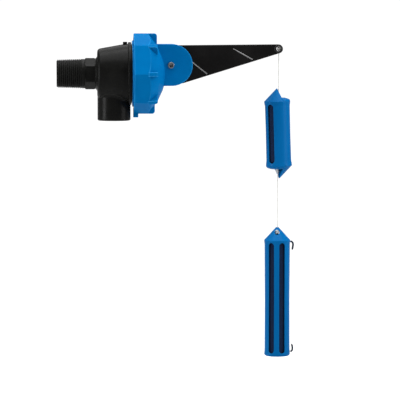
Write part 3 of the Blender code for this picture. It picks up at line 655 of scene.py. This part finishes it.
def outlet():
    """The outlet spigot, whose top flares into the bell's underside."""
    steps = 120
    flare_steps = 6
    bore = OUTLET_BORE - 0.05
    wall = rounded([
        (-26.0, bore), (-55.0, bore, 0.7), (-55.0, OUTLET_RADIUS, 2.2), (-26.0, OUTLET_RADIUS),
    ], closed=False)[1:-1]
    columns = []
    for i in range(steps):
        angle = TURN * i / steps
        c, s = math.cos(angle), math.sin(angle)

        def under(radius, c=c, s=s):
            x, y = OUTLET_X + radius * c, radius * s
            outside = radius_at(BELL_OUTSIDE, min(max(x, 47.75), 87.3))
            return -math.sqrt(max(outside ** 2 - y * y, 100.0))

        x = OUTLET_X + OUTLET_RADIUS * c
        flare = 2.6 * min(1.0, max(0.02, min((x - 49.6) / 7.0, (82.6 - x) / 7.0)))
        meet = under(OUTLET_RADIUS)
        start, control, end = (
            Vector((OUTLET_RADIUS, meet - flare)), Vector((OUTLET_RADIUS, meet)),
            Vector((OUTLET_RADIUS + flare, under(OUTLET_RADIUS + flare))),
        )
        column = [(radius, z) for z, radius in wall]
        for k in range(flare_steps + 1):
            t = k / flare_steps
            column.append(tuple(start * (1 - t) ** 2 + control * 2 * t * (1 - t) + end * t * t))
        column.append((OUTLET_RADIUS - 0.4, meet + 1.2))
        column.append((OUTLET_BORE + 1.6, under(OUTLET_BORE + 1.6) + 1.6))
        column.append((bore, under(OUTLET_BORE) + 3.2))
        columns.append([(OUTLET_X + radius * c, radius * s, z) for radius, z in column])
    return skin("outlet", columns)


def collar():
    """The spanner hexagon, its corners turned off at both ends, on the plain neck."""
    corner = COLLAR_FLAT / math.cos(math.pi / 6)
    steps = 96
    rings = []
    for x, limit in ((32.8, 14.9), (32.8, 16.4), (34.0, 20.0), (44.4, 20.0), (45.3, 17.4), (45.3, 14.9)):
        ring = []
        for j in range(steps):
            angle = TURN * j / steps
            off = (angle + math.pi / 6) % (math.pi / 3) - math.pi / 6
            flat = softest([COLLAR_FLAT / math.cos(off), corner - 0.12], 0.1) + 0.05
            radius = min(flat, limit)
            ring.append((x, radius * math.sin(angle - math.pi / 2), radius * math.cos(angle - math.pi / 2)))
        rings.append(ring)
    return skin("spanner_collar", rings)


def tooth():
    outline = rounded([(77.9, 33.0), (82.9, 33.0), (82.9, 37.3, 0.6), (77.9, 37.3, 0.6)])
    return bevel(prism("index_tooth", outline, "Y", -2.0, 2.0), 0.35)


done(bell(), BODY_BLACK, "valve", nodes=("valve_body",))
done(outlet(), BODY_BLACK, "valve")
done(thread(), BODY_BLACK, "valve", 50)
done(collar(), BODY_BLACK, "valve")
done(tooth(), BODY_BLACK, "valve")


# ---------------------------------------------------------------- cap

CAP_CORNER = 47.2
CAP_START = 90.3
CONE_START = (107.9, 46.0)
CONE_END = (119.0, 31.8)
CONE_SLOPE = (CONE_START[1] - CONE_END[1]) / (CONE_END[0] - CONE_START[0])
PIN_AT = (133.8, 10.0)
PIN_HOLE_RADIUS = 3.3
EAR_AT = (134.8, 10.2)
EAR_RADIUS = 24.5
EAR_FACES = (6.5, 11.5)
LUG_END = 117.8
LOWEST_LUG_END = 115.2


def octagon_radius(angle):
    flat = CAP_CORNER * math.cos(math.pi / 8)
    sides = []
    for i in range(8):
        across = math.cos(angle - TURN * (2 * i + 1) / 16)
        if across > 0.6:
            sides.append(flat / across)
    return softest(sides, 0.22) + 0.1


def cap_angles():
    offsets = [0.0, 0.35, 0.7, 1.1, 1.6, 2.3, 3.2, 4.4, 6.0, 8.0, 10.5, 13.5, 16.5, 19.5, 22.5]
    one = offsets + [45.0 - offset for offset in reversed(offsets[1:-1])]
    return [math.radians(45.0 * sector + offset) for sector in range(8) for offset in one]


def cap_shell():
    """The octagonal skirt, cone and dome: each ring is the octagon where the turned line lies outside it."""
    angles = cap_angles()
    turned = rounded([
        (102.0, CONE_START[1] + (CONE_START[0] - 102.0) * CONE_SLOPE), (118.6, 32.3, 14.0),
        (124.4, 19.8, 14.0), (127.7, 9.0, 6.0), (127.7, 0.0),
    ], steps=10, closed=False)
    first = Vector(turned[0])
    second = Vector(turned[1])
    count = 40
    line = [tuple(first.lerp(second, i / count)) for i in range(count)] + turned[1:]
    rings = []

    def ring(x, radius_of):
        rings.append([(x, radius_of(a) * math.cos(a), radius_of(a) * math.sin(a)) for a in angles])

    def outside(angle, radius):
        if radius > 30:
            return max(0.0, softest([octagon_radius(angle), radius], 0.32))
        return radius

    cavity = [(123.2, 0.0), (123.2, 11.0), (121.4, 15.0), (118.0, 23.5), (113.5, 28.0), (105.0, 28.0)]
    skirt = [(105.0, 34.9), (89.2, 34.9), (88.6, 35.4)]
    rim = [(88.6, 38.4), (88.75, 38.75), (89.1, 38.8), (CAP_START, 38.8)]
    for x, radius in cavity + skirt + rim:
        ring(x, lambda a, radius=radius: radius)
    eased = ((0.0, 0.9), (0.05, 0.6), (0.25, 0.25), (0.6, 0.05), (1.0, 0.0), (5.0, 0.0), (9.0, 0.0))
    for step, inset in eased:
        ring(CAP_START + step, lambda a, inset=inset: octagon_radius(a) - inset)
    for x, radius in line:
        ring(x, lambda a, radius=radius: outside(a, radius))
    return skin("cap_shell", rings, closed=False)


def grip_lug(number):
    end = LOWEST_LUG_END if number == 4 else LUG_END
    outline = rounded([(106.6, 30.0), (end, 30.0), (end, 47.15, 3.2), (106.6, 47.15)])
    lug = bevel(prism("grip_lug", outline, "Y", -2.5, 2.5), 0.7)
    return move(lug, Matrix.Rotation(TURN * number / 8, 4, "X"))


def ear(side):
    foot = 111.0
    outline = [(foot, EAR_AT[1] - EAR_RADIUS)]
    outline += arc(EAR_AT, EAR_RADIUS, -math.pi / 2, math.pi / 2, 64)
    outline.append((foot, EAR_AT[1] + EAR_RADIUS))
    low, high = sorted(side * face for face in EAR_FACES)
    return bevel(prism("ear", outline, "Y", low, high), 0.7)


def cap():
    tab = bevel(prism("index_tab", box_outline(89.8, 95.8, -51.4, -40.0), "Y", -2.5, 2.5), 0.6)
    boss = bevel(prism("jet_boss", circle((0.0, 22.0), 3.6), "X", 116.0, 124.0), 0.4)
    added = joined("cap_added", [grip_lug(i) for i in range(8)] + [ear(-1), ear(1), tab, boss])
    piece = combine(cap_shell(), added, "UNION")
    holes = joined("cap_holes", [
        prism("pin_hole", circle(PIN_AT, PIN_HOLE_RADIUS), "Y", -16.0, 16.0),
        prism("jet_hole", circle((0.0, 22.0), 2.1, 24), "X", 112.0, 130.0),
        prism("bleed_hole", circle((4.6, 4.6), 0.9, 16), "X", 121.0, 125.4),
    ])
    return combine(piece, holes, "DIFFERENCE")


def pivot_pin():
    profile = rounded([
        (-1.9, 0.0), (-1.9, 2.1, 0.4), (-12.9, 2.1, 0.3), (-12.9, 3.6, 0.5), (-11.9, 3.9, 0.15), (-11.9, 3.0),
        (13.5, 3.0, 0.5), (13.5, 2.1, 0.3), (7.5, 2.1, 0.4), (7.5, 0.0),
    ])
    return lathe("pivot_pin_turned", profile, "Y", PIN_AT, steps=64)


def pin_clip():
    """A retaining ring with three inner teeth and a gap."""
    outer = arc(PIN_AT, 5.2, math.radians(-150), math.radians(150), 40)
    inner = []
    for i in range(61):
        angle = math.radians(150 - 5 * i)
        tooth_here = abs(math.sin(1.5 * angle)) < 0.45
        radius = 3.32 if tooth_here else 3.9
        inner.append((PIN_AT[0] + radius * math.cos(angle), PIN_AT[1] + radius * math.sin(angle)))
    return bevel(prism("pin_clip_ring", outer + inner, "Y", 11.8, 12.6), 0.12, 2, 60)


done(cap(), CAP_BLUE, "valve", 32, ("cap",))
done(pivot_pin(), STEEL, "valve", nodes=("pivot_pin",))
done(pin_clip(), STEEL, "valve", nodes=("pin_clip",))


# ---------------------------------------------------------------- float arm

ARM_HALF = 5.4
ARM_BEND = (148.2, -11.4)
RIDGES = (((148.0, 21.9), (176.3, -0.4)), ((206.9, 29.4), (229.9, 16.4)))


def arm_outline():
    centre = Vector((TIP_X, TIP_Z))
    bend = Vector(ARM_BEND)
    away = centre - bend
    lean = math.atan2(away.y, away.x) - math.asin(TIP_RADIUS / away.length)
    tip = arc((TIP_X, TIP_Z), TIP_RADIUS, lean - math.pi / 2, math.pi / 2, 28)
    corners = [(128.2, -11.4, 2.0), (*ARM_BEND, 4.0), *tip, (136.0, 33.2, 1.0), (133.4, 31.6, 1.5)]
    corners += [(131.3, 28.0, 2.0), (129.3, 18.6, 3.0), (128.5, 14.5, 3.0)]
    return rounded(corners)


def ridge(name, start, end):
    """A half-round ridge that fades in at its upper end, on both sides of the arm."""
    first, last = (Vector((a, 0.0, b)) for a, b in (start, end))
    sides = []
    for side in (-1, 1):
        path = [first.lerp(last, i / 40) + Vector((0.0, side * (ARM_HALF - 0.15), 0.0)) for i in range(41)]
        sides.append(swept(f"{name}_side", path, lambda t: 0.3 + 0.45 * min(1.0, t * 2.5), 16))
    return joined(name, sides)


def arm():
    piece = bevel(prism("arm_lever", arm_outline(), "Y", -ARM_HALF, ARM_HALF), 0.8)
    boss = bevel(prism("tip_boss", circle((TIP_X, TIP_Z), 4.8, 56), "Y", -6.0, 6.0), 0.4)
    combine(piece, boss, "UNION")
    holes = joined("arm_holes", [
        prism("arm_pin_hole", circle(PIN_AT, PIN_HOLE_RADIUS), "Y", -9.0, 9.0),
        prism("tip_hole", circle((TIP_HOLE_X, TIP_Z), TIP_HOLE_RADIUS), "Y", -9.0, 9.0),
    ])
    combine(piece, holes, "DIFFERENCE")
    way_out = prism("cord_way", circle((cord_x(TIP_Z), 0.0), 1.2, 24), "Z", TIP_Z - 9.0, TIP_Z)
    return combine(piece, way_out, "DIFFERENCE")


done(arm(), ARM_BLACK, "arm", 32, ("float_arm",))
# The ridges carry the light grey painted-highlight finish.
for number, ridge_ends in enumerate(RIDGES):
    done(ridge(f"arm_ridge_{number}", *ridge_ends), ARM_RIDGE_HIGHLIGHT, "arm", 60)


# ---------------------------------------------------------------- floats

SHELL_STEPS = 48
SLOT_ANGLE = math.radians(26)
UPPER_CENTRE = (260.55, 0.0, -70.65)
UPPER_LEAN = math.radians(-1.6)
UPPER_TURN = math.radians(-65)


def slot_cutters(low, high, width):
    radius = width / 2
    outline = arc((0.0, high - radius), radius, 0.0, math.pi, 14)
    outline += arc((0.0, low + radius), radius, math.pi, TURN, 14)
    cutters = []
    for side in (-1, 1):
        cutter = prism("slot", outline, "Y", -20.0, -8.0)
        cutters.append(move(cutter, Matrix.Rotation(side * SLOT_ANGLE, 4, "Z")))
    return cutters


def half_shell(name, profile, cutters, place):
    """Half a turned shell with its slots cut through and every edge eased."""
    piece = lathe(name, profile, "Z", steps=SHELL_STEPS, start=-math.pi, sweep=math.pi)
    combine(piece, joined("slots", cutters), "DIFFERENCE")
    bevel(piece, 0.15, 3, 50)
    shift = Matrix.Translation(Vector((0.0, -0.05 * MM, 0.0)))
    return move(piece, place @ shift)


UPPER_PROFILE = rounded([
    (53.2, 0.0), (53.0, 0.5, 0.6), (37.85, 15.5, 0.8), (33.0, 14.9, 6.0), (0.0, 14.7, 60.0),
    (-34.0, 14.9, 12.0), (-39.9, 15.4, 3.2), (-42.0, 9.0, 6.0), (-42.1, 2.6, 0.4), (-39.9, 2.6),
    (-39.3, 12.3, 1.2), (-38.4, 13.6, 1.0), (0.0, 13.2, 60.0), (37.2, 13.6, 1.0), (50.6, 0.0),
], steps=6)
LOWER_PROFILE = rounded([
    (-181.1, 1.2, 0.3), (-196.7, 15.5, 0.8), (-201.5, 14.95, 5.0), (-265.0, 14.6, 60.0),
    (-326.0, 14.9, 10.0), (-334.2, 15.5, 2.8), (-334.2, 0.0), (-332.3, 0.0), (-332.3, 12.0, 1.2),
    (-331.0, 13.4, 1.0), (-265.0, 13.0, 60.0), (-197.4, 13.3, 1.0), (-184.0, 1.2),
], steps=6)


def upper_float():
    lean = Matrix.Rotation(UPPER_LEAN, 4, "Y")
    centre = Matrix.Translation(Vector(UPPER_CENTRE) * MM) @ lean
    turn = UPPER_TURN
    places = (
        ("left", Matrix.Rotation(turn, 4, "Z")),
        ("right", Matrix.Rotation(turn + math.pi, 4, "Z") @ Matrix.Rotation(math.pi, 4, "Y")),
    )
    for side, place in places:
        cutters = slot_cutters(-34.9, 34.7, 8.0)
        shell = half_shell(f"upper_{side}_half", UPPER_PROFILE, cutters, centre @ place)
        done(shell, FLOAT_BLUE, "upper_float", 36, (f"upper_float_{side}_shell",))
    profile = rounded([(34.4, 2.6), (34.4, 12.8, 1.2), (-34.4, 12.8, 1.2), (-34.4, 2.6)])
    core = move(lathe("upper_core", profile, "Z", steps=64), centre)
    done(core, FOAM, "upper_float", nodes=("upper_float_core",))


def lower_float():
    centre = Matrix.Translation(Vector((LOWER_X, 0.0, 0.0)) * MM)
    for side, turn in (("front", LOWER_TURN), ("rear", LOWER_TURN + math.pi)):
        cutters = slot_cutters(-330.3, -199.2, 7.2)
        cutters.append(prism("cross_hole", circle((0.0, LOWER_HOLE_Z), 2.9, 40), "Y", -14.0, 2.0))
        place = centre @ Matrix.Rotation(turn, 4, "Z")
        shell = half_shell(f"lower_{side}_half", LOWER_PROFILE, cutters, place)
        done(shell, FLOAT_BLUE, "lower_float", 36, (f"lower_float_{side}_shell",))
    profile = rounded([(-199.4, 0.0), (-199.4, 12.6, 1.2), (-330.8, 12.6, 1.2), (-330.8, 0.0)])
    core = move(lathe("lower_core", profile, "Z", steps=64), centre)
    done(core, FOAM, "lower_float", nodes=("lower_float_core",))


def cleat(name, route, node):
    path = spline([(x, 0.0, z) for x, z in route], 40)
    piece = swept(name, path, lambda t: 1.1 * min(1.0, 0.6 + 3.0 * (1 - t)), 16)
    bevel(piece, 0.25, 2, 60)
    done(piece, CLEAT_DARK, "lower_float", nodes=(node,))


upper_float()
lower_float()
for end, hook in (
    ("top", ((275.4, -198.2), (277.6, -199.2), (278.5, -201.6), (278.2, -205.2), (277.5, -208.4))),
    ("bottom", ((275.4, -329.4), (277.2, -328.6), (278.0, -326.4), (277.8, -323.2), (277.0, -320.0))),
):
    cleat(f"cleat_{end}_hook", hook, f"cleat_{end}")


# ---------------------------------------------------------------- CAD nodes that stay

for node, finish in (
    ("diaphragm", RUBBER), ("pilot_seal", RUBBER), ("diaphragm_plate", WHITE_INSERT),
    ("diaphragm_guide", WHITE_INSERT), ("pilot_jet", WHITE_INSERT), ("diaphragm_screw", STEEL),
    ("return_spring", STEEL), ("bleed_pin", STEEL),
):
    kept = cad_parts[node]
    for material_slot in kept.material_slots:
        material_slot.material = finish


# ---------------------------------------------------------------- floor and light

FLOOR_Z = -0.47


def set_stage():
    half = 20.0
    mesh = bpy.data.meshes.new("floor")
    corners = [(x, y, FLOOR_Z) for x, y in box_outline(-half, half, -half, half)]
    mesh.from_pydata(corners, [], [(0, 1, 2, 3)])
    floor = bpy.data.objects.new("floor", mesh)
    bpy.context.scene.collection.objects.link(floor)
    paint = Paint("floor_finish", 0.9, specular=0.1)
    seen = paint.node("ShaderNodeLightPath").outputs["Is Camera Ray"]
    white = paint.colours(paint.noise(2.0), (0.3, (0.93, 0.93, 0.93)), (0.7, (0.96, 0.96, 0.96)))
    paint.colour(paint.mixed(seen, (0.5, 0.5, 0.5), white))
    mesh.materials.append(paint.material)


def area_light(name, place, target, size, power):
    data = bpy.data.lights.new(name, "AREA")
    data.shape = "RECTANGLE"
    data.size, data.size_y = size
    data.energy = power
    light = bpy.data.objects.new(name, data)
    light.location = place
    away = Vector(target) - Vector(place)
    light.rotation_euler = away.to_track_quat("-Z", "Y").to_euler()
    light.visible_camera = False
    bpy.context.scene.collection.objects.link(light)


def sun(name, direction, strength, softness):
    data = bpy.data.lights.new(name, "SUN")
    data.energy = strength
    data.angle = math.radians(softness)
    light = bpy.data.objects.new(name, data)
    light.rotation_euler = Vector(direction).to_track_quat("-Z", "Y").to_euler()
    bpy.context.scene.collection.objects.link(light)


def set_world():
    world = bpy.data.worlds.new("studio")
    bpy.context.scene.world = world
    world.use_nodes = True
    tree = world.node_tree
    background = tree.nodes["Background"]
    seen = tree.nodes.new("ShaderNodeLightPath")
    strength = tree.nodes.new("ShaderNodeMapRange")
    strength.inputs["To Min"].default_value = 0.10
    strength.inputs["To Max"].default_value = 1.05
    tree.links.new(seen.outputs["Is Camera Ray"], strength.inputs["Value"])
    tree.links.new(strength.outputs["Result"], background.inputs["Strength"])
    background.inputs["Color"].default_value = (1.0, 1.0, 1.0, 1.0)


set_stage()
set_world()
TARGET = (0.16, 0.0, -0.10)
area_light("right_box", (1.45, -0.55, 0.45), TARGET, (0.7, 1.3), 19.0)
area_light("left_box", (-1.35, -0.45, 0.1), TARGET, (0.5, 1.3), 20.0)
area_light("top_box", (0.10, 0.75, 1.15), (0.10, 0.0, 0.0), (1.6, 1.5), 11.0)
sun("sky", (0.0, 0.1, -1.0), 3.4, 60.0)
bpy.context.scene.view_settings.view_transform = "Standard"
